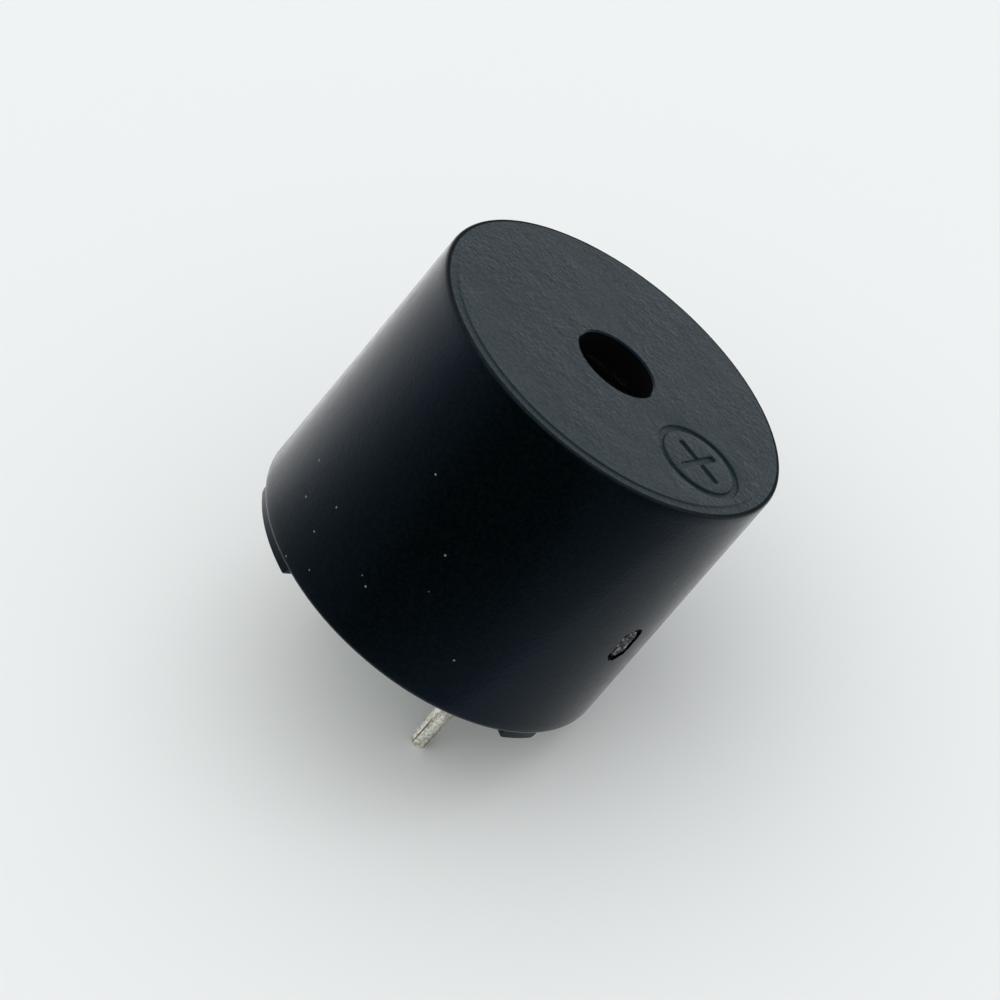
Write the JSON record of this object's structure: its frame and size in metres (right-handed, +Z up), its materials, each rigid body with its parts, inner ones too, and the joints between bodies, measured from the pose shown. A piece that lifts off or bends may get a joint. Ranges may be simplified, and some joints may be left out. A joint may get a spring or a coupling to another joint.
{
  "type": "passive magnetic buzzer",
  "caption": "Round black sounder with a sound hole in its roof, moulded feet and a pair of straight pins for a circuit board; needs an external drive signal.",
  "frame": {"origin": "on the case axis, in the seating plane (the underside of the feet), midway between the two pins", "axes": "+Z up the case axis towards the sound hole; +X towards the positive pin; the pins point along -Z"},
  "size_m": [0.012, 0.012, 0.0131],
  "materials": {
    "case_plastic": "moulded satin black",
    "diaphragm_steel": "rolled spring steel",
    "soft_iron": "zinc plated",
    "ring_plastic": "natural moulded",
    "ferrite": "sintered",
    "enamelled_copper": "enamelled wire",
    "board_laminate": "solder mask",
    "copper_land": "plated copper foil",
    "tinned_pin": "tin plated",
    "solder": "reflowed solder",
    "seal_resin": "cured resin"
  },
  "bodies": {
    "root": {"case": "case_plastic", "diaphragm": "diaphragm_steel", "armature": "soft_iron", "support_ring": "ring_plastic", "magnet": "ferrite", "core": "soft_iron", "yoke_plate": "soft_iron", "coil": "enamelled_copper", "circuit_board": "board_laminate", "land_positive": "copper_land", "land_negative": "copper_land", "pin_positive": "tinned_pin", "pin_negative": "tinned_pin", "pin_solder_positive": "solder", "pin_solder_negative": "solder", "lead_positive": "enamelled_copper", "lead_negative": "enamelled_copper", "lead_solder_positive": "solder", "lead_solder_negative": "solder", "seal_bead": "seal_resin"}
  },
  "joints": []
}
